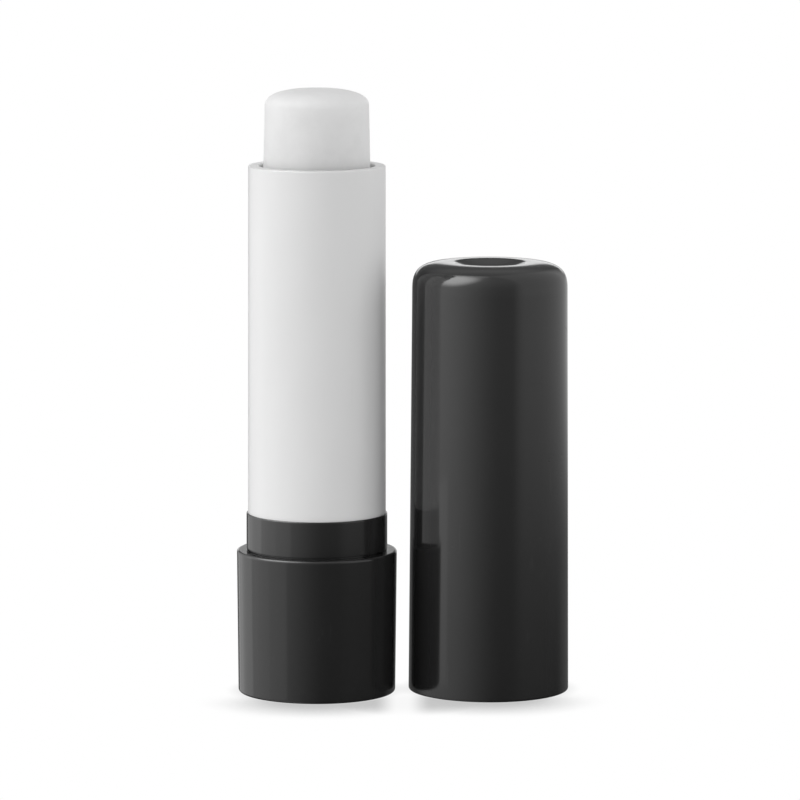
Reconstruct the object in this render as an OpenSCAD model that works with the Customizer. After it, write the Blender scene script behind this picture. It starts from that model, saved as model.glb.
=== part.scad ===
// Lip balm stick with its cap off: a screw knob at the foot raises the balm out of a white barrel.
// Millimetres. The stick stands on the origin with its axis along +Z, and the cap stands at +X.

/* [Knob] */
// Height of the knob
knob_h = 17.2; // [14:0.1:24]
// Wall of the knob round the collar's tail, at its top edge
knob_wall = 1.235; // [0.9:0.005:2.5]
// How much smaller the knob's radius is at its foot
knob_taper = 0.17; // [0:0.01:0.3]
// Thickness of the knob's floor
knob_floor = 1.4; // [1:0.1:2.4]
// Rounding of the knob's top edge
knob_edge_r = 0.25; // [0.1:0.05:0.6]
// Rounding of the knob's foot
knob_foot_r = 0.35; // [0.1:0.05:0.6]
// Wall of the socket post
post_wall = 1.6; // [0.8:0.1:3]
// How far the snap bead stands into the knob's bore
bead_out = 0.26; // [0.2:0.01:0.3]
// Height of the snap bead
bead_h = 1.2; // [0.8:0.1:2]
// Height of the snap bead's middle above the collar's foot
bead_lift = 2.4; // [1.5:0.1:4]

/* [Collar] */
// How far the collar stands out past the barrel
collar_step = 0.185; // [0.1:0.005:0.4]
// Wall of the collar at the cap's seat, round the barrel's spigot
collar_wall = 0.8; // [0.7:0.05:1]
// How much smaller the collar's radius is on the tail inside the knob
tail_relief = 0.2; // [0.16:0.01:0.3]
// Height of collar that shows above the knob
collar_show = 4.5; // [3:0.1:8]
// Depth that the collar reaches into the knob
collar_tail = 10.2; // [7:0.1:11]
// Rounding of the collar's top edge
collar_edge_r = 0.12; // [0.05:0.01:0.2]

/* [Barrel] */
// Length of barrel that shows above the collar
tube_show = 41.7; // [30:0.1:60]
// Bore of the barrel
tube_bore_d = 13.84; // [12:0.01:18]
// Wall of the barrel where it meets the collar
tube_wall = 1.33; // [1.2:0.01:1.8]
// How much smaller the barrel's outer radius is at its rim
tube_taper = 0.07; // [0:0.01:0.2]
// Thickness of the barrel's floor
tube_floor = 1.2; // [0.8:0.1:2]
// Rounding of the barrel's rim, inside and outside
rim_r = 0.15; // [0.1:0.05:0.5]
// How far the barrel's snap lip stands out under the collar
snap_out = 0.25; // [0.1:0.05:0.4]
// Height of the snap lip, from the barrel's foot to the collar's
snap_h = 1; // [0.6:0.1:1.6]
// Width of each guide groove in the bore
groove_w = 1.5; // [1:0.1:2.5]
// Depth of each guide groove
groove_deep = 0.38; // [0.25:0.01:0.45]
// Distance from the rim down to the end of each groove
groove_stop = 1.2; // [0.8:0.1:3]

/* [Feed screw] */
// Advance of the carrier in one turn
lead = 4.5; // [3:0.1:6]
// Diameter over the screw's crest
crest_d = 4.2; // [3.8:0.1:4.8]
// Depth of the screw's thread
thread_deep = 0.6; // [0.4:0.05:0.8]
// Diameter of the screw's neck and foot
neck_d = 3.8; // [3.4:0.1:4.4]
// Thickness of the screw's flange over the barrel's floor
flange_t = 0.9; // [0.6:0.1:1.5]
// How far the flange stands out past the screw's neck
flange_out = 1.7; // [1:0.1:2.5]
// Depth of each of the two flats of the screw's foot
flat_deep = 0.4; // [0.2:0.05:0.7]
// Distance from the screw's tip up to the rim of the barrel
screw_short = 5.4; // [4:0.1:12]

/* [Carrier] */
// Height of the carrier cup
cup_h = 9; // [7:0.1:12]
// Wall of the carrier cup
cup_wall = 0.4; // [0.3:0.05:0.6]
// Floor of the carrier cup
cup_floor = 1; // [0.6:0.1:1.6]
// Height of the nut from the underside of the cup
nut_h = 6; // [4:0.1:8]
// Wall of the nut outside its thread
nut_wall = 1; // [0.6:0.1:1.6]
// Height of each guide lug
lug_h = 3; // [2:0.1:6]

/* [Balm] */
// Height of the balm's tip above the rim of the barrel, as it stands
balm_show = 9.15; // [4:0.05:15]
// Depth of the balm's tip below the rim when it is wound right down
balm_sink = 2; // [1:0.1:4]
// How much smaller the balm's radius is at its shoulder
balm_draft = 0.15; // [0:0.01:0.4]
// Height of the balm's domed end
dome_h = 2.1; // [1:0.1:3]

/* [Cap] */
// Wall of the cap round the collar, at its mouth
cap_wall = 1.14; // [0.9:0.01:2.5]
// How much smaller the cap's radius is where its shoulder starts
cap_taper = 0.33; // [0:0.01:0.4]
// Free height over the barrel's rim when the cap is on
head_room = 3.4; // [2:0.05:6]
// Thickness of the cap's closed end at its crest
cap_roof = 2.1; // [1.8:0.1:4]
// Height of the cap's rounded shoulder
shoulder_h = 3.55; // [3:0.05:7]
// Radius of the crest round the dish
crest_r = 4.5; // [3:0.1:6]
// Depth of the dish in the closed end
dish_deep = 0.8; // [0.3:0.05:1.2]
// Rounding between the crest and the dish
dish_lip_r = 1.5; // [0.2:0.1:2]
// Rounding of the cap's mouth
mouth_r = 0.25; // [0.1:0.05:0.4]
// Rounding inside the cap's closed end
cavity_r = 1.6; // [0.8:0.1:2.5]

/* [Cap stood beside] */
// Gap between the knob and the cap along X
stand_gap = 1.44; // [0.5:0.01:20]
// Distance that the cap stands further back along Y
stand_back = 1.55; // [0:0.05:10]

/* [Fits] */
// Radial running clearance of the collar's tail in the knob
turn_gap = 0.12; // [0.08:0.01:0.2]
// Axial clearance of parts that turn over each other
end_gap = 0.2; // [0.1:0.05:0.3]
// Clearance of parts that are pressed together
press_gap = 0.02; // [0.01:0.01:0.04]
// Radial clearance of the carrier in the bore
slide_gap = 0.15; // [0.1:0.01:0.2]
// Radial clearance of the cap on the collar
cap_gap = 0.045; // [0.03:0.005:0.1]
// Clearance of the nut on the screw's thread
thread_gap = 0.18; // [0.16:0.01:0.22]
// Radial clearance of the screw in the barrel's floor
neck_gap = 0.1; // [0.05:0.01:0.15]

/* [Hidden] */
$fn = 96;

// Overlap of a cut past the face that it opens
cut = 0.5;
black = "#1d1d20";
white = "#f4f4f2";
natural = "#e6e4dc";
wax = "#f3f0e6";

// Barrel, collar and knob, outwards from the bore
bore_r = tube_bore_d / 2;
groove_r = bore_r + groove_deep;
tube_low_r = bore_r + tube_wall;
tube_top_r = tube_low_r - tube_taper;
collar_r = tube_low_r + collar_step;
spigot_r = collar_r - collar_wall - press_gap;
tail_r = collar_r - tail_relief;
knob_bore_r = tail_r + turn_gap;
knob_top_r = knob_bore_r + knob_wall;
knob_foot_rad = knob_top_r - knob_taper;

// Their heights
collar_top_z = knob_h + collar_show;
seat_foot_z = knob_h + end_gap;
collar_foot_z = knob_h - collar_tail;
bead_z = collar_foot_z + bead_lift;
tube_rim_z = collar_top_z + tube_show;
tube_foot_z = collar_foot_z - snap_h;
tube_floor_z = tube_foot_z + tube_floor;
post_top_z = tube_foot_z - end_gap;

// Screw
crest_rad = crest_d / 2;
root_rad = crest_rad - thread_deep;
neck_r = neck_d / 2;
flats_w = neck_d - 2 * flat_deep;
floor_hole_r = neck_r + neck_gap;
flange_r = neck_r + flange_out;
flange_z = tube_floor_z + end_gap;
thread_z = flange_z + flange_t;
screw_top_z = tube_rim_z - screw_short;
// Half width of the thread's crest and width of each flank, as angles round the screw
crest_half_a = 28;
flank_a = 36;
// Slices in each turn of the thread
turn_slices = 14;

// Carrier and balm
carrier_r = bore_r - slide_gap;
cup_bore_r = carrier_r - cup_wall;
balm_r = cup_bore_r - press_gap;
nut_r = crest_rad + thread_gap + nut_wall;
down_travel = balm_show + balm_sink;
carrier_low_z = thread_z + end_gap;
carrier_z = carrier_low_z + down_travel;
balm_foot_z = carrier_z + cup_floor;
balm_tip_z = tube_rim_z + balm_show;
balm_tip_r = balm_r - balm_draft;
balm_hole_r = crest_rad + thread_gap;
balm_hole_top_z = screw_top_z + down_travel + end_gap;
up_travel = tube_rim_z - cup_h - rim_r - end_gap - carrier_z;

// Cap
cap_bore_r = collar_r + cap_gap;
cap_mouth_rad = cap_bore_r + cap_wall;
cap_shoulder_rad = cap_mouth_rad - cap_taper;
cap_inside_h = collar_show + tube_show + head_room;
cap_h = cap_inside_h + cap_roof;
cap_x = knob_top_r + cap_mouth_rad + stand_gap;
cap_y = stand_back;

// Points of an arc about c, from angle a to angle b
function arc(c, r, a, b, n = 6) = [
    for (i = [0:n])
        let (t = a + (b - a) * i / n)
            [c[0] + r * cos(t), c[1] + r * sin(t)]
];

// Quarter of a superellipse from [x + w, y] round to [x, y + h], squarer as n grows
function shoulder(x, y, w, h, n, steps) = [
    for (i = [0:steps])
        let (t = 90 * i / steps)
            [x + w * pow(cos(t), 2 / n), y + h * pow(sin(t), 2 / n)]
];

// Outline of the thread across the screw's axis, grown by a radial gap and by the same gap along the axis
function thread_outline(gap) =
    let (
        a_gap = 360 * gap / lead,
        crest = crest_half_a + a_gap,
        foot = crest + flank_a,
        high = crest_rad + gap,
        low = root_rad + gap,
        gaps = 7
    )
    concat(
        [for (i = [-2:2]) high * [cos(crest * i / 2), sin(crest * i / 2)]],
        [for (i = [0:gaps]) let (t = foot + (360 - 2 * foot) * i / gaps) low * [cos(t), sin(t)]]
    );

// Left-hand thread from z0 to z1, in step with height 0
module thread(z0, z1, gap) {
    turns = (z1 - z0) / lead;
    translate([0, 0, z0])
        rotate([0, 0, -360 * z0 / lead])
            linear_extrude(height = z1 - z0, twist = 360 * turns, slices = ceil(turns * turn_slices), $fn = 16)
                polygon(thread_outline(gap));
}

// Round bar with two flats, for the screw's foot and its socket
module flatted_bar(z0, z1, gap) {
    intersection() {
        translate([0, 0, z0])
            cylinder(r = neck_r + gap, h = z1 - z0);
        translate([-neck_r - cut, -flats_w / 2 - gap, z0])
            cube([2 * (neck_r + cut), flats_w + 2 * gap, z1 - z0]);
    }
}

// Two strips of radius r and width w on opposite sides of the axis, from z0 to z1
module side_strips(r, w, z0, z1) {
    intersection() {
        translate([0, 0, z0])
            cylinder(r = r, h = z1 - z0);
        translate([-w / 2, -r - cut, z0])
            cube([w, 2 * (r + cut), z1 - z0]);
    }
}

module knob() {
    bead_half = bead_h / 2;
    color(black)
    difference() {
        rotate_extrude()
            polygon(concat(
                [[0, 0]],
                arc([knob_foot_rad - knob_foot_r, knob_foot_r], knob_foot_r, -90, 0),
                arc([knob_top_r - knob_edge_r, knob_h - knob_edge_r], knob_edge_r, 0, 90),
                [
                    [knob_bore_r, knob_h],
                    [knob_bore_r, bead_z + bead_half],
                    [knob_bore_r - bead_out, bead_z + bead_half - bead_out],
                    [knob_bore_r - bead_out, bead_z - bead_half + bead_out],
                    [knob_bore_r, bead_z - bead_half],
                    [knob_bore_r, knob_floor],
                    [neck_r + post_wall, knob_floor],
                    [neck_r + post_wall, post_top_z],
                    [0, post_top_z]
                ]
            ));
        flatted_bar(knob_floor, post_top_z + cut, press_gap);
    }
}

module spindle() {
    color(natural) {
        flatted_bar(knob_floor, tube_foot_z, 0);
        translate([0, 0, tube_foot_z])
            cylinder(r = neck_r, h = flange_z - tube_foot_z);
        translate([0, 0, flange_z])
            cylinder(r = flange_r, h = flange_t);
        thread(thread_z, screw_top_z, 0);
    }
}

module collar() {
    inner_r = collar_r - collar_wall;
    bead_groove_r = tail_r - bead_out;
    groove_half = bead_h / 2 + end_gap;
    color(black)
    rotate_extrude()
        polygon(concat(
            [
                [inner_r, collar_foot_z],
                [tail_r, collar_foot_z],
                [tail_r, bead_z - groove_half],
                [bead_groove_r, bead_z - groove_half + bead_out],
                [bead_groove_r, bead_z + groove_half - bead_out],
                [tail_r, bead_z + groove_half],
                [tail_r, seat_foot_z],
                [collar_r, seat_foot_z]
            ],
            arc([collar_r - collar_edge_r, collar_top_z - collar_edge_r], collar_edge_r, 0, 90, 3),
            [[inner_r, collar_top_z]]
        ));
}

module tube() {
    lip_top_z = collar_foot_z;
    color(white)
    difference() {
        rotate_extrude()
            polygon(concat(
                [
                    [floor_hole_r, tube_foot_z],
                    [spigot_r, tube_foot_z],
                    [spigot_r + snap_out, lip_top_z - snap_out],
                    [spigot_r + snap_out, lip_top_z],
                    [spigot_r, lip_top_z],
                    [spigot_r, collar_top_z],
                    [tube_low_r, collar_top_z]
                ],
                arc([tube_top_r - rim_r, tube_rim_z - rim_r], rim_r, 0, 90, 5),
                arc([bore_r + rim_r, tube_rim_z - rim_r], rim_r, 90, 180, 5),
                [
                    [bore_r, tube_floor_z],
                    [floor_hole_r, tube_floor_z]
                ]
            ));
        side_strips(groove_r, groove_w, tube_floor_z, tube_rim_z - groove_stop);
    }
}

module carrier() {
    lug_r = groove_r - slide_gap;
    lug_w = groove_w - 2 * slide_gap;
    color(natural)
    difference() {
        union() {
            difference() {
                translate([0, 0, carrier_z])
                    cylinder(r = carrier_r, h = cup_h);
                translate([0, 0, balm_foot_z])
                    cylinder(r = cup_bore_r, h = cup_h);
            }
            translate([0, 0, carrier_z])
                cylinder(r = nut_r, h = nut_h);
            difference() {
                side_strips(lug_r, lug_w, carrier_z, carrier_z + lug_h);
                translate([0, 0, carrier_z - cut])
                    cylinder(r = cup_bore_r, h = cup_h);
            }
        }
        thread(carrier_z - cut, carrier_z + nut_h + cut, thread_gap);
    }
}

module balm() {
    dome_n = 2.5;
    color(wax)
    rotate_extrude()
        polygon(concat(
            [
                [nut_r + press_gap, balm_foot_z],
                [balm_r, balm_foot_z],
                [balm_r, tube_rim_z]
            ],
            shoulder(0, balm_tip_z - dome_h, balm_tip_r, dome_h, dome_n, 16),
            [
                [0, balm_hole_top_z],
                [balm_hole_r, balm_hole_top_z],
                [balm_hole_r, carrier_z + nut_h + press_gap],
                [nut_r + press_gap, carrier_z + nut_h + press_gap]
            ]
        ));
}

module cap() {
    shoulder_n = 3.2;
    shoulder_w = cap_shoulder_rad - crest_r;
    dish_a = 2 * atan(dish_deep / crest_r);
    dish_r = crest_r / sin(dish_a) - dish_lip_r;
    color(black)
    translate([cap_x, cap_y, 0])
        rotate_extrude()
            polygon(concat(
                arc([cap_mouth_rad - mouth_r, mouth_r], mouth_r, -90, 0, 4),
                shoulder(crest_r, cap_h - shoulder_h, shoulder_w, shoulder_h, shoulder_n, 18),
                arc([crest_r, cap_h - dish_lip_r], dish_lip_r, 90 + dish_a / 3, 90 + dish_a, 2),
                arc([0, cap_h - dish_deep + dish_r], dish_r, -90 + dish_a, -90, 8),
                [[0, cap_inside_h]],
                arc([cap_bore_r - cavity_r, cap_inside_h - cavity_r], cavity_r, 90, 0, 6),
                [[cap_bore_r, 0]]
            ));
}

knob();
spindle();
collar();
tube();
carrier();
balm();
cap();
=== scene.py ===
"""Lip balm stick, standing with its cap off beside it. Metres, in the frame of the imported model."""
import math

import bpy
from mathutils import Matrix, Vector


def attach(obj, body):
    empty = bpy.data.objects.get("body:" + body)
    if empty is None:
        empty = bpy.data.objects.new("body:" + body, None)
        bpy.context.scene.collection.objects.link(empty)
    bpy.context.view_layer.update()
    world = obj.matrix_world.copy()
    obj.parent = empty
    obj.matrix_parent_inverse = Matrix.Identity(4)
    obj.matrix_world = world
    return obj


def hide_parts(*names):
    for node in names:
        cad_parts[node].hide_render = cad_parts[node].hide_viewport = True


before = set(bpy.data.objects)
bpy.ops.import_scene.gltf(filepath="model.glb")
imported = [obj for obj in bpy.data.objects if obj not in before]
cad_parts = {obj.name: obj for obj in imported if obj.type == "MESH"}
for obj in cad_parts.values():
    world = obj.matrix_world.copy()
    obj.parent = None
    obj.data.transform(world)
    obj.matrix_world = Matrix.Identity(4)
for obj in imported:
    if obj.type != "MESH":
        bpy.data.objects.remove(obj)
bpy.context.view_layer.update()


# Knob: the wide cup at the foot that is turned by hand to feed the balm. It is moulded in glossy black
# plastic with a slight draft, its top edge is rounded over, and it snaps onto the collar's tail. A post
# on its floor holds the foot of the feed screw.

MM = 0.001
KNOB_TOP_R = 9.59
KNOB_FOOT_R = 9.42
KNOB_H = 17.2
KNOB_BORE_R = 8.355
KNOB_FLOOR = 1.4
POST_R = 3.5
POST_TOP = 5.8
POST_BORE_R = 1.92
BEAD_Z = 9.4
BEAD_HALF = 0.6
BEAD_OUT = 0.26
KNOB_EDGE = 0.25
KNOB_FOOT_EDGE = 0.35
BORE_EDGE = 0.08
FLOOR_FILLET = 0.3
POST_EDGE = 0.1
ROUND_STEPS = 8
HOLD = 0.08
SHARP_ANGLE = math.radians(32)
SAME_PLACE = 1e-6


def outline(corners):
    """Outline of a turned piece from (radius, height) points and (radius, height, rounding) corners, in mm.

    A straight run gets a point close to each rounded corner, which keeps it straight under smooth shading.
    An outline that starts clear of the axis is closed into a ring.
    """
    points = []
    for i, corner in enumerate(corners):
        here = Vector(corner[:2])
        if len(corner) == 2:
            points.append(here)
            continue
        back = (Vector(corners[i - 1][:2]) - here).normalized()
        ahead = (Vector(corners[(i + 1) % len(corners)][:2]) - here).normalized()
        half = back.angle(ahead) / 2
        centre = here + (back + ahead).normalized() * (corner[2] / math.sin(half))
        reach = corner[2] / math.tan(half)
        first = math.atan2(*(here + back * reach - centre).yx)
        last = math.atan2(*(here + ahead * reach - centre).yx)
        sweep = (last - first + math.pi) % (2 * math.pi) - math.pi
        points.append(here + back * (reach + HOLD))
        for k in range(ROUND_STEPS + 1):
            a = first + sweep * k / ROUND_STEPS
            points.append(centre + corner[2] * Vector((math.cos(a), math.sin(a))))
        points.append(here + ahead * (reach + HOLD))
    if corners[0][0] > 0:
        points.append(points[0])
    return [(p.x * MM, 0, p.y * MM) for p in points]


def wire(tree, kind, inputs=(), **settings):
    """New node of a kind, with its settings, its input values and its incoming links."""
    node = tree.nodes.new(kind)
    for key, value in settings.items():
        setattr(node, key, value)
    for key, value in dict(inputs).items():
        if isinstance(value, bpy.types.NodeSocket):
            tree.links.new(value, node.inputs[key])
        else:
            node.inputs[key].default_value = value
    return node


def sums(tree, operation, *values):
    """Output of a Math node."""
    return wire(tree, "ShaderNodeMath", enumerate(values), operation=operation).outputs[0]


def turned_piece_tree():
    """Geometry Nodes tree that turns an outline round an upright axis, with two straight grooves if asked."""
    tree = bpy.data.node_groups.new("turned_piece", "GeometryNodeTree")
    for name, kind in (
        ("Outline", "NodeSocketGeometry"),
        ("Segments", "NodeSocketInt"),
        ("Axis", "NodeSocketVector"),
        ("Groove Depth", "NodeSocketFloat"),
        ("Groove Half Width", "NodeSocketFloat"),
        ("Groove Bore Radius", "NodeSocketFloat"),
        ("Groove Top", "NodeSocketFloat"),
        ("Material", "NodeSocketMaterial"),
    ):
        tree.interface.new_socket(name=name, in_out="INPUT", socket_type=kind)
    tree.interface.new_socket(name="Piece", in_out="OUTPUT", socket_type="NodeSocketGeometry")
    given = wire(tree, "NodeGroupInput").outputs

    count = wire(tree, "GeometryNodeAttributeDomainSize", {"Geometry": given["Outline"]}, component="MESH")
    ring = sums(tree, "ADD", given["Segments"], 1.0)
    grid = wire(
        tree, "GeometryNodeMeshGrid", {"Vertices X": count.outputs["Point Count"], "Vertices Y": ring}
    ).outputs["Mesh"]
    index = wire(tree, "GeometryNodeInputIndex").outputs[0]
    along = sums(tree, "FLOOR", sums(tree, "DIVIDE", sums(tree, "ADD", index, 0.5), ring))
    around = sums(tree, "SUBTRACT", index, sums(tree, "MULTIPLY", along, ring))
    place = wire(tree, "GeometryNodeInputPosition").outputs[0]
    sample = wire(
        tree, "GeometryNodeSampleIndex", data_type="FLOAT_VECTOR", domain="POINT",
        inputs={"Geometry": given["Outline"], "Value": place, "Index": along},
    )
    section = wire(tree, "ShaderNodeSeparateXYZ", {0: sample.outputs[0]}).outputs
    angle = sums(tree, "DIVIDE", sums(tree, "MULTIPLY", around, 2 * math.pi), given["Segments"])
    cosine = sums(tree, "COSINE", angle)
    sine = sums(tree, "SINE", angle)

    off_line = sums(tree, "ABSOLUTE", sums(tree, "MULTIPLY", section["X"], cosine))
    in_strip = sums(tree, "LESS_THAN", off_line, given["Groove Half Width"])
    on_bore = sums(tree, "COMPARE", section["X"], given["Groove Bore Radius"], SAME_PLACE)
    below_top = sums(tree, "LESS_THAN", section["Z"], given["Groove Top"])
    in_groove = sums(tree, "MULTIPLY", sums(tree, "MULTIPLY", in_strip, on_bore), below_top)
    radius = sums(tree, "ADD", section["X"], sums(tree, "MULTIPLY", in_groove, given["Groove Depth"]))

    point = wire(tree, "ShaderNodeCombineXYZ", {
        "X": sums(tree, "MULTIPLY", radius, cosine),
        "Y": sums(tree, "MULTIPLY", radius, sine),
        "Z": section["Z"],
    }).outputs[0]
    moved = wire(tree, "ShaderNodeVectorMath", {0: point, 1: given["Axis"]}, operation="ADD").outputs[0]
    turned = wire(tree, "GeometryNodeSetPosition", {"Geometry": grid, "Position": moved})
    merged = wire(
        tree, "GeometryNodeMergeByDistance", {"Geometry": turned.outputs[0], "Distance": SAME_PLACE}
    )
    crease = wire(tree, "GeometryNodeInputMeshEdgeAngle").outputs["Unsigned Angle"]
    sharp = sums(tree, "GREATER_THAN", crease, SHARP_ANGLE)
    smooth = wire(tree, "GeometryNodeSetShadeSmooth", {"Geometry": merged.outputs[0], "Shade Smooth": True})
    edges = wire(
        tree, "GeometryNodeSetShadeSmooth", domain="EDGE",
        inputs={"Geometry": smooth.outputs[0], "Selection": sharp, "Shade Smooth": False},
    )
    real = wire(tree, "GeometryNodeRealizeInstances", {"Geometry": edges.outputs[0]})
    faced = wire(
        tree, "GeometryNodeSetMaterial", {"Geometry": real.outputs[0], "Material": given["Material"]}
    ).outputs[0]
    wire(tree, "NodeGroupOutput", {"Piece": faced})
    return tree


TURNED_PIECE = turned_piece_tree()


def turn(name, points, material, segments=192, axis=(0, 0, 0), **extra):
    """Plain mesh object of the outline turned round its axis."""
    mesh = bpy.data.meshes.new(name)
    mesh.from_pydata(points, [(i, i + 1) for i in range(len(points) - 1)], [])
    blank = bpy.data.objects.new(name + "_outline", mesh)
    bpy.context.scene.collection.objects.link(blank)
    modifier = blank.modifiers.new("turned", "NODES")
    modifier.node_group = TURNED_PIECE
    given = {"Segments": segments, "Axis": axis, "Material": material, **extra}
    for item in TURNED_PIECE.interface.items_tree:
        if item.in_out == "INPUT" and item.name in given:
            modifier[item.identifier] = given[item.name]
    seen = blank.evaluated_get(bpy.context.evaluated_depsgraph_get())
    made = bpy.data.meshes.new_from_object(seen)
    piece = bpy.data.objects.new(name, made)
    bpy.context.scene.collection.objects.link(piece)
    blank.modifiers.remove(modifier)
    bpy.data.objects.remove(blank)
    return piece


def effect_group(name, inputs, outputs):
    """Empty shader node group with named inputs, their defaults, and named outputs."""
    group = bpy.data.node_groups.new(name, "ShaderNodeTree")
    for key, value in inputs:
        socket = group.interface.new_socket(name=key, in_out="INPUT", socket_type="NodeSocketFloat")
        socket.default_value = value
    for key in outputs:
        group.interface.new_socket(name=key, in_out="OUTPUT", socket_type="NodeSocketFloat")
    return group, wire(group, "NodeGroupInput").outputs


def noise(tree, place, scale, detail=2.0, roughness=0.5, stretch=(1, 1, 1)):
    """Noise from 0 to 1 on Object coordinates, at a number of lumps to the metre."""
    turned = wire(tree, "ShaderNodeMapping", {"Vector": place, "Scale": stretch}).outputs[0]
    return wire(tree, "ShaderNodeTexNoise", {
        "Vector": turned, "Scale": scale, "Detail": detail, "Roughness": roughness,
    }).outputs[0]


def spread(tree, value, low, high, to_low, to_high):
    """Value mapped smoothly from one range to another."""
    return wire(tree, "ShaderNodeMapRange", {
        "Value": value, "From Min": low, "From Max": high, "To Min": to_low, "To Max": to_high,
    }, interpolation_type="SMOOTHSTEP").outputs[0]


def moulded_skin_group():
    """Skin of an injection moulding: broad drifts of gloss, a fine grain, and a faint ripple in height."""
    group, given = effect_group(
        "moulded_skin",
        (("Gloss Roughness", 0.25), ("Gloss Drift", 0.04), ("Grain", 0.3), ("Ripple", 0.3)),
        ("Roughness", "Height"),
    )
    place = wire(group, "ShaderNodeTexCoord").outputs["Object"]
    drift = noise(group, place, 160, 3.0, 0.55)
    fine = noise(group, place, 4200, 2.0, 0.6)
    ripple = noise(group, place, 420, 1.0, 0.4, (1, 1, 0.35))
    lean = sums(group, "MULTIPLY", sums(group, "SUBTRACT", drift, 0.5), given["Gloss Drift"])
    speck_size = sums(group, "MULTIPLY", given["Grain"], 0.1)
    speck = sums(group, "MULTIPLY", sums(group, "SUBTRACT", fine, 0.5), speck_size)
    rough = sums(group, "ADD", sums(group, "ADD", given["Gloss Roughness"], lean), speck)
    waves = sums(group, "MULTIPLY", ripple, given["Ripple"])
    height = sums(group, "ADD", waves, sums(group, "MULTIPLY", fine, given["Grain"]))
    wire(group, "NodeGroupOutput", {"Roughness": rough, "Height": height})
    return group


def handling_marks_group():
    """Hair-fine marks from handling, long up the piece and broken, as a mask from 0 to 1."""
    group, given = effect_group("handling_marks", (("Amount", 0.3), ("Fineness", 2600.0)), ("Mask",))
    place = wire(group, "ShaderNodeTexCoord").outputs["Object"]
    hairs = noise(group, place, given["Fineness"], 1.0, 0.5, (1, 1, 0.03))
    leant = wire(group, "ShaderNodeMapping", {"Vector": place, "Rotation": (0.5, 0.9, 0.2)}).outputs[0]
    leaning = noise(group, leant, given["Fineness"], 1.0, 0.5, (1, 0.02, 1))
    patches = spread(group, noise(group, place, 190, 2.0), 0.52, 0.68, 0.0, 1.0)
    upright_hairs = spread(group, hairs, 0.66, 0.72, 0.0, 1.0)
    leaning_hairs = spread(group, leaning, 0.68, 0.74, 0.0, 1.0)
    thin = sums(group, "MAXIMUM", upright_hairs, leaning_hairs)
    mask = sums(group, "MULTIPLY", sums(group, "MULTIPLY", thin, patches), given["Amount"])
    wire(group, "NodeGroupOutput", {"Mask": mask})
    return group


def edge_rub_group():
    """Mask of the rounded edges that fingers and the cap rub, broken up by a coarse noise."""
    group, given = effect_group("edge_rub", (("Amount", 0.5), ("Sharpness", 0.53)), ("Mask",))
    place = wire(group, "ShaderNodeTexCoord").outputs["Object"]
    point = wire(group, "ShaderNodeNewGeometry").outputs["Pointiness"]
    rise = wire(group, "ShaderNodeMapRange", {
        "Value": point, "From Min": 0.505, "From Max": given["Sharpness"], "To Min": 0.0, "To Max": 1.0,
    }).outputs[0]
    broken = spread(group, noise(group, place, 900, 3.0, 0.6), 0.35, 0.7, 0.25, 1.0)
    mask = sums(group, "MULTIPLY", sums(group, "MULTIPLY", rise, broken), given["Amount"])
    wire(group, "NodeGroupOutput", {"Mask": mask})
    return group


MOULDED_SKIN = moulded_skin_group()
HANDLING_MARKS = handling_marks_group()
EDGE_RUB = edge_rub_group()


def place_group(tree, group, **values):
    """Placed effect group, with its values."""
    node = wire(tree, "ShaderNodeGroup", node_tree=group)
    for key, value in values.items():
        node.inputs[key.replace("_", " ")].default_value = value
    return node.outputs


def new_material(name, **uniform):
    """Material with a Principled shader and its uniform values."""
    material = bpy.data.materials.new(name)
    material.use_nodes = True
    shader = material.node_tree.nodes["Principled BSDF"]
    for key, value in uniform.items():
        shader.inputs[key.replace("_", " ")].default_value = value
    return material, material.node_tree, shader


def tint(tree, mask, plain, marked):
    """Colour mixed from plain, a colour or a socket, to marked by a mask."""
    if not isinstance(plain, bpy.types.NodeSocket):
        plain = (*plain, 1)
    return wire(tree, "ShaderNodeMix", {
        "Factor": mask, 6: plain, 7: (*marked, 1),
    }, data_type="RGBA").outputs[2]


def even(value):
    """One value three times, for a neutral colour or an even reach."""
    return (value, value, value)


def moulded_plastic(name, plain, deep, rubbed, skin, marks, rub, bump, **uniform):
    """Glossy moulded plastic: slight drifts of colour and gloss, faint marks, and rubbed edges."""
    material, tree, shader = new_material(name, **uniform)
    surface = place_group(tree, MOULDED_SKIN, **skin)
    hair = place_group(tree, HANDLING_MARKS, **marks)["Mask"]
    edge = place_group(tree, EDGE_RUB, **rub)["Mask"]
    place = wire(tree, "ShaderNodeTexCoord").outputs["Object"]
    flow = spread(tree, noise(tree, place, 110, 2.0, 0.5, (1, 1, 0.4)), 0.35, 0.65, 0.0, 1.0)
    base = tint(tree, flow, plain, deep)
    worn = tint(tree, sums(tree, "MAXIMUM", hair, edge), base, rubbed)
    tree.links.new(worn, shader.inputs["Base Color"])
    scratched = sums(tree, "ADD", surface["Roughness"], sums(tree, "MULTIPLY", hair, 0.25))
    rough = sums(tree, "SUBTRACT", scratched, sums(tree, "MULTIPLY", edge, 0.05))
    tree.links.new(rough, shader.inputs["Roughness"])
    height = sums(tree, "SUBTRACT", surface["Height"], sums(tree, "MULTIPLY", hair, 0.6))
    lifted = wire(tree, "ShaderNodeBump", {"Strength": bump, "Distance": 0.00002, "Height": height})
    tree.links.new(lifted.outputs[0], shader.inputs["Normal"])
    return material


black_plastic = moulded_plastic(
    "black_plastic", plain=even(0.0205), deep=even(0.0190), rubbed=even(0.030),
    skin={"Gloss_Roughness": 0.12, "Gloss_Drift": 0.03, "Grain": 0.06, "Ripple": 0.4},
    marks={"Amount": 0.25, "Fineness": 2600.0}, rub={"Amount": 0.4, "Sharpness": 0.56}, bump=0.5, IOR=1.5,
)

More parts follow.
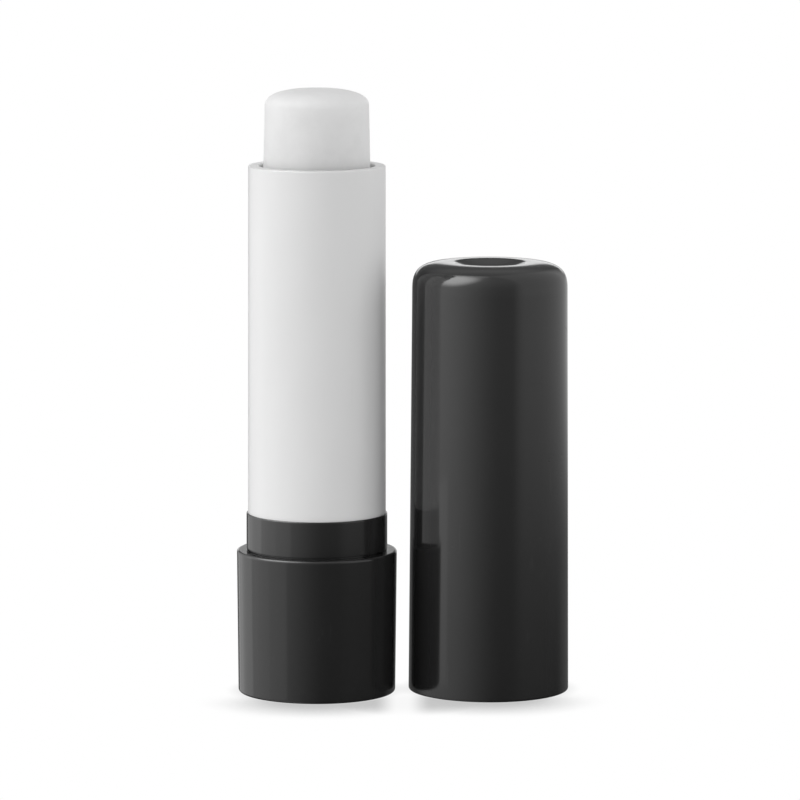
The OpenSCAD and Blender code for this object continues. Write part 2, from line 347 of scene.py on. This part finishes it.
knob = turn("knob_cup", outline([
    (0, 0),
    (KNOB_FOOT_R, 0, KNOB_FOOT_EDGE),
    (KNOB_TOP_R, KNOB_H, KNOB_EDGE),
    (KNOB_BORE_R, KNOB_H, BORE_EDGE),
    (KNOB_BORE_R, BEAD_Z + BEAD_HALF),
    (KNOB_BORE_R - BEAD_OUT, BEAD_Z + BEAD_HALF - BEAD_OUT),
    (KNOB_BORE_R - BEAD_OUT, BEAD_Z - BEAD_HALF + BEAD_OUT),
    (KNOB_BORE_R, BEAD_Z - BEAD_HALF),
    (KNOB_BORE_R, KNOB_FLOOR, FLOOR_FILLET),
    (POST_R, KNOB_FLOOR, FLOOR_FILLET),
    (POST_R, POST_TOP, POST_EDGE),
    (POST_BORE_R, POST_TOP),
    (POST_BORE_R, KNOB_FLOOR),
    (0, KNOB_FLOOR),
]), black_plastic)
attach(knob, "knob_body")
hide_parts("knob")


# Feed screw: a left-hand screw moulded in uncoloured plastic, whose flatted foot is pressed into the knob's
# post. It turns with the knob, its flange rides on the barrel's floor, and use has worn its thread smooth.

def uncoloured_plastic():
    """Uncoloured plastic: milky, a little translucent, with the marks of the mould."""
    material, tree, shader = new_material(
        "uncoloured_plastic", IOR=1.5, Subsurface_Weight=0.25, Subsurface_Radius=(0.0012, 0.0011, 0.0009),
        Subsurface_Scale=1.0,
    )
    surface = place_group(tree, MOULDED_SKIN, Gloss_Roughness=0.38, Gloss_Drift=0.08, Grain=0.4, Ripple=0.5)
    edge = place_group(tree, EDGE_RUB, Amount=0.35, Sharpness=0.58)["Mask"]
    place = wire(tree, "ShaderNodeTexCoord").outputs["Object"]
    cloud = spread(tree, noise(tree, place, 260, 3.0), 0.3, 0.7, 0.0, 1.0)
    base = tint(tree, cloud, (0.80, 0.79, 0.75), (0.74, 0.73, 0.69))
    tree.links.new(tint(tree, edge, base, (0.86, 0.86, 0.83)), shader.inputs["Base Color"])
    tree.links.new(surface["Roughness"], shader.inputs["Roughness"])
    lifted = wire(tree, "ShaderNodeBump", {
        "Strength": 0.5, "Distance": 0.00003, "Height": surface["Height"],
    })
    tree.links.new(lifted.outputs[0], shader.inputs["Normal"])
    return material


def refinish(node, material):
    """Puts a material in every slot of a node of the model."""
    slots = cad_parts[node].data.materials
    for i in range(len(slots)):
        slots[i] = material


natural_plastic = uncoloured_plastic()
refinish("spindle", natural_plastic)


# Collar: a short sleeve of the same black plastic, pressed onto the barrel's spigot. Its upper part shows
# above the knob and carries the cap; its slimmer tail runs inside the knob.

COLLAR_R = 8.435
COLLAR_TAIL_R = 8.235
COLLAR_IN_R = 7.635
COLLAR_FOOT = 7.0
COLLAR_SEAT = 17.4
COLLAR_TOP = 21.7
COLLAR_EDGE = 0.12
SEAT_EDGE = 0.04
TAIL_EDGE = 0.1
GROOVE_HALF = BEAD_HALF + 0.2

collar = turn("collar_sleeve", outline([
    (COLLAR_IN_R, COLLAR_FOOT),
    (COLLAR_TAIL_R, COLLAR_FOOT, TAIL_EDGE),
    (COLLAR_TAIL_R, BEAD_Z - GROOVE_HALF),
    (COLLAR_TAIL_R - BEAD_OUT, BEAD_Z - GROOVE_HALF + BEAD_OUT),
    (COLLAR_TAIL_R - BEAD_OUT, BEAD_Z + GROOVE_HALF - BEAD_OUT),
    (COLLAR_TAIL_R, BEAD_Z + GROOVE_HALF),
    (COLLAR_TAIL_R, COLLAR_SEAT),
    (COLLAR_R, COLLAR_SEAT, SEAT_EDGE),
    (COLLAR_R, COLLAR_TOP, COLLAR_EDGE),
    (COLLAR_IN_R, COLLAR_TOP),
]), black_plastic)
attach(collar, "barrel_body")
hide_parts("collar")


# Barrel: the long white tube that holds the balm, moulded in glossy opaque plastic. Its foot is a spigot
# for the collar with a snap lip below it, and two straight grooves in its bore guide the carrier.

TUBE_LOW_R = 8.25
TUBE_TOP_R = 8.18
TUBE_RIM = 63.4
TUBE_BORE_R = 6.92
TUBE_FOOT = 6.0
TUBE_FLOOR = 7.2
SPIGOT_R = 7.615
SNAP_R = 7.865
SNAP_OUT = 0.25
FLOOR_HOLE_R = 2.0
RIM_ROUND = 0.15
GUIDE_TOP = 62.2
GUIDE_STEP = 0.05
GUIDE_DEEP = 0.38
GUIDE_HALF = 0.75

white_plastic = moulded_plastic(
    "white_plastic", plain=even(0.81), deep=even(0.79), rubbed=even(0.72),
    skin={"Gloss_Roughness": 0.30, "Gloss_Drift": 0.05, "Grain": 0.2, "Ripple": 0.5},
    marks={"Amount": 0.12, "Fineness": 2400.0}, rub={"Amount": 0.1, "Sharpness": 0.56}, bump=0.4, IOR=1.5,
    Subsurface_Weight=0.15, Subsurface_Radius=even(0.0006), Subsurface_Scale=1.0,
)
tube = turn("barrel_tube", outline([
    (FLOOR_HOLE_R, TUBE_FOOT),
    (SPIGOT_R, TUBE_FOOT),
    (SNAP_R, COLLAR_FOOT - SNAP_OUT),
    (SNAP_R, COLLAR_FOOT),
    (SPIGOT_R, COLLAR_FOOT),
    (SPIGOT_R, COLLAR_TOP),
    (TUBE_LOW_R, COLLAR_TOP),
    (TUBE_TOP_R, TUBE_RIM, RIM_ROUND),
    (TUBE_BORE_R, TUBE_RIM, RIM_ROUND),
    (TUBE_BORE_R, GUIDE_TOP),
    (TUBE_BORE_R, GUIDE_TOP - GUIDE_STEP),
    (TUBE_BORE_R, TUBE_FLOOR),
    (FLOOR_HOLE_R, TUBE_FLOOR),
]), white_plastic, segments=256, **{
    "Groove Depth": GUIDE_DEEP * MM,
    "Groove Half Width": GUIDE_HALF * MM,
    "Groove Bore Radius": TUBE_BORE_R * MM,
    "Groove Top": (GUIDE_TOP - GUIDE_STEP / 2) * MM,
})
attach(tube, "barrel_body")
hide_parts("tube")


# Carrier: the cup under the balm, moulded in uncoloured plastic with the nut that climbs the screw and two
# lugs that slide in the barrel's grooves. It shows only when the balm is wound right up.

refinish("carrier", natural_plastic)


# Balm: a bar of off-white wax balm, poured hot into the barrel, with a domed end that takes its shape from
# the mould. Its skin is satin, slightly translucent and never quite even.

BALM_R = 6.35
BALM_FOOT = 20.65
BALM_TIP = 72.55
BALM_SHOULDER_R = 6.2
DOME_H = 2.1
DOME_N = 2.5
NUT_R = 3.3
NUT_TOP = 25.67
SCREW_HOLE_R = 2.28
SCREW_HOLE_TOP = 69.35
DOME_STEPS = 40


def squared_quarter(x, y, w, h, n, steps):
    """Quarter of a superellipse from (x + w, y) round to (x, y + h), in mm."""
    points = []
    for i in range(steps + 1):
        t = math.pi / 2 * i / steps
        points.append((x + w * max(math.cos(t), 0) ** (2 / n), y + h * math.sin(t) ** (2 / n)))
    return points


def wax_balm():
    """Wax balm: off-white, satin and slightly translucent, with a soft bloom and a few poured ripples."""
    material, tree, shader = new_material(
        "wax_balm", IOR=1.45, Specular_IOR_Level=0.35, Subsurface_Weight=1.0,
        Subsurface_Radius=even(0.0042), Subsurface_Scale=1.0,
    )
    place = wire(tree, "ShaderNodeTexCoord").outputs["Object"]
    bloom = spread(tree, noise(tree, place, 330, 4.0, 0.6), 0.35, 0.7, 0.0, 1.0)
    base = tint(tree, bloom, even(0.80), even(0.77))
    tree.links.new(base, shader.inputs["Base Color"])
    tree.links.new(spread(tree, bloom, 0.0, 1.0, 0.52, 0.64), shader.inputs["Roughness"])
    pour = noise(tree, place, 190, 2.0, 0.45, (1, 1, 0.5))
    pores = noise(tree, place, 2400, 2.0, 0.6)
    height = sums(tree, "ADD", pour, sums(tree, "MULTIPLY", pores, 0.03))
    lifted = wire(tree, "ShaderNodeBump", {"Strength": 0.35, "Distance": 0.0003, "Height": height})
    tree.links.new(lifted.outputs[0], shader.inputs["Normal"])
    return material


balm = turn("balm_bar", outline([
    (0, SCREW_HOLE_TOP),
    (SCREW_HOLE_R, SCREW_HOLE_TOP),
    (SCREW_HOLE_R, NUT_TOP),
    (NUT_R, NUT_TOP),
    (NUT_R, BALM_FOOT),
    (BALM_R, BALM_FOOT),
    (BALM_R, TUBE_RIM),
    *squared_quarter(0, BALM_TIP - DOME_H, BALM_SHOULDER_R, DOME_H, DOME_N, DOME_STEPS),
]), wax_balm())
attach(balm, "balm_body")
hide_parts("balm")


# Cap: a tall thin-walled cup of the same black plastic, closed by a wide rounded shoulder round a shallow
# dish. Taken off, it stands on its mouth beside the stick.

CAP_AXIS = (20.65, 1.55)
CAP_BORE_R = 8.48
CAP_MOUTH_R = 9.62
CAP_SHOULDER_R = 9.29
CAP_H = 51.7
CAP_INSIDE_H = 49.6
CAVITY_ROUND = 1.6
SHOULDER_H = 3.55
SHOULDER_N = 3.2
CREST_R = 4.5
DISH_DEEP = 0.8
DISH_LIP = 1.5
MOUTH_EDGE = 0.25
SHOULDER_STEPS = 64
LIP_STEPS = 6
DISH_STEPS = 24


def arc(cx, cy, r, a, b, steps):
    """Points of an arc about a centre, from angle a to angle b in degrees."""
    angles = [math.radians(a + (b - a) * i / steps) for i in range(steps + 1)]
    return [(cx + r * math.cos(t), cy + r * math.sin(t)) for t in angles]


dish_a = math.degrees(2 * math.atan(DISH_DEEP / CREST_R))
dish_r = CREST_R / math.sin(math.radians(dish_a)) - DISH_LIP
shoulder_w = CAP_SHOULDER_R - CREST_R
cap = turn("cap_cup", outline([
    (0, CAP_INSIDE_H),
    (CAP_BORE_R, CAP_INSIDE_H, CAVITY_ROUND),
    (CAP_BORE_R, 0, BORE_EDGE),
    (CAP_MOUTH_R, 0, MOUTH_EDGE),
    *squared_quarter(CREST_R, CAP_H - SHOULDER_H, shoulder_w, SHOULDER_H, SHOULDER_N, SHOULDER_STEPS),
    *arc(CREST_R, CAP_H - DISH_LIP, DISH_LIP, 90, 90 + dish_a, LIP_STEPS)[1:],
    *arc(0, CAP_H - DISH_DEEP + dish_r, dish_r, -90 + dish_a, -90, DISH_STEPS)[1:-1],
    (0, CAP_H - DISH_DEEP),
]), black_plastic, segments=256, axis=(CAP_AXIS[0] * MM, CAP_AXIS[1] * MM, 0))
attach(cap, "cap_body")
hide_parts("cap")


# Studio: a small white floor with a painted contact shadow, which ambient occlusion darkens into its glow
# rather than the lamps casting it, tall reflector cards close by on the left, and a plain surround that the
# black pieces mirror.
# A soft lamp on the left, a weaker one on the right and one overhead light the pale pieces.

FLOOR_MIDDLE_X = 0.01
FLOOR_R = 0.16
FLOOR_SIDES = 96
SHADOW_REACH = 0.0125
SHADOW_DARK = 0.45
SHADOW_GAP_X = 0.0103
CONTACT_REACH = 0.002
CONTACT_DARK = 0.14
LEFT_CARD_X = -0.016
CARD_FOOT = -0.004
CARD_TOP = 0.064
LAMP_SIZE = (0.25, 0.25)
TOP_LAMP_SIZE = (0.30, 0.30)
MATT_FILL = 0.68
SPOT_AIM = (-0.6725, -0.2185, 0.7071)


def floor_material():
    """White floor: plain white to the camera but for the shadow in front of what stands on it.

    The shadow is painted: the camera sees a glow that ambient occlusion darkens, not shade cast by the lamps.
    The long painted shadow lies where the front is more closed in than the back, and is painted thinner in a
    fixed strip at the gap.
    """
    material = bpy.data.materials.new("white_floor")
    material.use_nodes = True
    tree = material.node_tree
    tree.nodes.clear()
    leans = [wire(tree, "ShaderNodeCombineXYZ", {"Y": side, "Z": 0.34}).outputs[0] for side in (-0.94, 0.94)]
    open_front, open_back = [
        wire(
            tree, "ShaderNodeAmbientOcclusion", {"Distance": SHADOW_REACH, "Normal": lean}, samples=24
        ).outputs["AO"]
        for lean in leans
    ]
    contact = wire(
        tree, "ShaderNodeAmbientOcclusion", {"Distance": CONTACT_REACH}, samples=16
    ).outputs["AO"]
    # Painted long shadow: the floor's glow is darkened where the back is more closed in than the front.
    painted_long_shadow = wire(tree, "ShaderNodeMapRange", {
        "Value": sums(tree, "SUBTRACT", open_front, open_back),
        "From Min": 0.2, "From Max": 0.49, "To Min": 0.0, "To Max": SHADOW_DARK,
    }).outputs[0]
    # Painted contact shadow: the floor's glow is darkened close round each foot.
    painted_contact_shadow = wire(tree, "ShaderNodeMapRange", {
        "Value": contact, "From Min": 0.95, "From Max": 0.5, "To Min": 0.0, "To Max": CONTACT_DARK,
    }).outputs[0]
    place = wire(tree, "ShaderNodeTexCoord").outputs["Object"]
    across = wire(tree, "ShaderNodeSeparateXYZ", {0: place}).outputs["X"]
    # The painted long shadow is thinned in a fixed strip round x = SHADOW_GAP_X, between the knob and the
    # cap.
    from_gap = sums(tree, "ABSOLUTE", sums(tree, "SUBTRACT", across, SHADOW_GAP_X))
    painted_long_shadow = sums(tree, "MULTIPLY", painted_long_shadow, spread(tree, from_gap, 0.0005, 0.0035, 0.15, 1.0))
    glow_under_painted_shadow = sums(tree, "SUBTRACT", 1.0, sums(tree, "MAXIMUM", painted_long_shadow, painted_contact_shadow))
    # The camera sees the floor as a glow of strength 1, less the painted shadows.
    shown = wire(tree, "ShaderNodeEmission", {"Strength": glow_under_painted_shadow})
    grain = spread(tree, noise(tree, place, 900, 3.0), 0.3, 0.7, 0.86, 0.9)
    pale = wire(tree, "ShaderNodeBsdfDiffuse", {"Color": grain})
    camera_ray = wire(tree, "ShaderNodeLightPath").outputs["Is Camera Ray"]
    top = wire(tree, "ShaderNodeMixShader", {0: camera_ray, 1: pale.outputs[0], 2: shown.outputs[0]})
    below = wire(tree, "ShaderNodeNewGeometry").outputs["Backfacing"]
    clear = wire(tree, "ShaderNodeBsdfTransparent")
    both = wire(tree, "ShaderNodeMixShader", {0: below, 1: top.outputs[0], 2: clear.outputs[0]})
    wire(tree, "ShaderNodeOutputMaterial", {"Surface": both.outputs[0]})
    return material


floor_mesh = bpy.data.meshes.new("floor")
turns = [2 * math.pi * i / FLOOR_SIDES for i in range(FLOOR_SIDES)]
rim = [(FLOOR_MIDDLE_X + FLOOR_R * math.cos(a), FLOOR_R * math.sin(a), 0) for a in turns]
floor_mesh.from_pydata(rim, [], [list(range(FLOOR_SIDES))])
floor_mesh.materials.append(floor_material())
floor = bpy.data.objects.new("floor", floor_mesh)
floor.visible_glossy = False
bpy.context.scene.collection.objects.link(floor)


def lamp(name, place, aim, size, radiance, mirrored):
    """Soft rectangular lamp, hidden from the camera: it is mirrored in what is glossy, or lights the rest."""
    data = bpy.data.lights.new(name, "AREA")
    data.shape = "RECTANGLE"
    data.size, data.size_y = size
    data.energy = radiance * math.pi * size[0] * size[1]
    light = bpy.data.objects.new(name, data)
    light.location = place
    light.rotation_euler = (Vector(aim) - Vector(place)).to_track_quat("-Z", "Y").to_euler()
    light.visible_camera = False
    light.visible_glossy = mirrored
    light.visible_diffuse = not mirrored
    bpy.context.scene.collection.objects.link(light)


for name, x, near, far, foot, top, radiance in (
    ("low_card", LEFT_CARD_X, -0.022, -0.011, CARD_FOOT, 0.022, 0.25),
    ("front_card", LEFT_CARD_X, -0.011, -0.003, CARD_FOOT, CARD_TOP, 0.38),
    ("middle_card", LEFT_CARD_X, -0.003, 0.006, CARD_FOOT, CARD_TOP, 0.85),
    ("back_card", LEFT_CARD_X, 0.006, 0.014, CARD_FOOT, CARD_TOP, 0.62),
    ("cap_card", 0.0095, -0.0065, -0.002, 0.018, 0.056, 0.5),
):
    middle = ((near + far) / 2, (foot + top) / 2)
    lamp(name, (x, *middle), (x + 0.01, *middle), (far - near, top - foot), radiance, mirrored=True)
lamp("left_lamp", (-0.442, -0.161, 0.211), (0.01, 0.0, 0.04), LAMP_SIZE, 4.0, mirrored=False)
lamp("right_lamp", (0.458, 0.04, 0.13), (0.0, 0.0, 0.05), LAMP_SIZE, 1.35, mirrored=False)
lamp("top_lamp", (0.01, 0.0, 0.54), (0.01, 0.0, 0.0), TOP_LAMP_SIZE, 0.35, mirrored=False)


def product(tree, first, *others):
    """Product of two values or more."""
    for value in others:
        first = sums(tree, "MULTIPLY", first, value)
    return first


def studio_world():
    """World: white to the camera, an even fill for what is matt, and a surround to be mirrored in gloss.

    The surround is dim in front, with a wide glow on the left, another on the right, a bright band just over
    the horizon straight behind, and a soft spot high on the left.
    """
    world = bpy.data.worlds.new("studio")
    world.use_nodes = True
    world.cycles.sampling_method = "NONE"
    tree = world.node_tree
    tree.nodes.clear()
    toward = wire(tree, "ShaderNodeTexCoord").outputs["Generated"]
    aim = wire(tree, "ShaderNodeSeparateXYZ", {0: toward}).outputs
    rise = aim["Z"]
    turn_right = sums(tree, "ARCTAN2", aim["X"], sums(tree, "MULTIPLY", aim["Y"], -1.0))
    turn_away = sums(tree, "ABSOLUTE", turn_right)

    front_low = spread(tree, rise, -0.18, -0.10, 0.0, 0.34)
    front = sums(tree, "ADD", front_low, spread(tree, rise, 0.0, 0.9, 0.0, 0.3))
    band_up = spread(tree, rise, 0.03, 0.06, 0.0, 1.3)
    band_rise = sums(tree, "SUBTRACT", band_up, spread(tree, rise, 0.13, 0.17, 0.0, 1.3))
    band = product(tree, band_rise, spread(tree, turn_away, 2.7, 2.95, 0.0, 1.0))
    back = sums(tree, "ADD", band, spread(tree, rise, 0.35, 0.85, 0.15, 0.55))
    behind = spread(tree, turn_away, 1.9, 2.4, 0.0, 1.0)
    around = wire(tree, "ShaderNodeMix", {"Factor": behind, "A": front, "B": back}).outputs[0]

    left = product(
        tree,
        spread(tree, turn_right, 0.30, -1.30, 0.0, 1.25),
        spread(tree, turn_right, -1.66, -2.36, 1.0, 0.0),
        spread(tree, rise, -0.19, -0.12, 0.58, 1.0),
    )
    right = product(
        tree,
        spread(tree, turn_right, 0.35, 0.95, 0.0, 0.90),
        spread(tree, turn_right, 1.7, 2.6, 1.0, 0.8),
        spread(tree, turn_right, 2.5, 3.0, 1.0, spread(tree, rise, -0.05, 0.08, 1.0, 0.1)),
        spread(tree, rise, -0.164, -0.118, 0.04, 1.0),
    )
    near_spot = wire(
        tree, "ShaderNodeVectorMath", {0: toward, 1: SPOT_AIM}, operation="DOT_PRODUCT"
    ).outputs["Value"]
    spot = spread(tree, near_spot, 0.80, 0.99, 0.0, 5.0)
    glow = sums(tree, "MAXIMUM", sums(tree, "ADD", around, left), right)
    mirrored = sums(tree, "ADD", glow, spot)

    path = wire(tree, "ShaderNodeLightPath").outputs
    unseen = wire(
        tree, "ShaderNodeMix", {"Factor": path["Is Glossy Ray"], "A": MATT_FILL, "B": mirrored}
    ).outputs[0]
    shown = sums(tree, "MAXIMUM", path["Is Camera Ray"], path["Is Transmission Ray"])
    strength = wire(tree, "ShaderNodeMix", {"Factor": shown, "A": unseen, "B": 1.0}).outputs[0]
    light = wire(tree, "ShaderNodeBackground", {"Color": (1, 1, 1, 1), "Strength": strength})
    wire(tree, "ShaderNodeOutputWorld", {"Surface": light.outputs[0]})
    return world


bpy.context.scene.world = studio_world()
bpy.context.scene.view_settings.view_transform = "Standard"

FOCAL_PIXELS = 5800
IMAGE_PIXELS = 800
SENSOR = 36
LOOK_DOWN = math.radians(7.697)
ROLL = math.radians(-0.11)

lens = bpy.data.cameras.new("camera")
lens.sensor_width = SENSOR
lens.lens = SENSOR * FOCAL_PIXELS / IMAGE_PIXELS
lens.clip_start = 0.05
camera = bpy.data.objects.new("camera", lens)
camera.location = (0.009753, -0.687, 0.1281)
camera.rotation_euler = (math.pi / 2 - LOOK_DOWN, ROLL, 0)
bpy.context.scene.collection.objects.link(camera)
bpy.context.scene.camera = camera
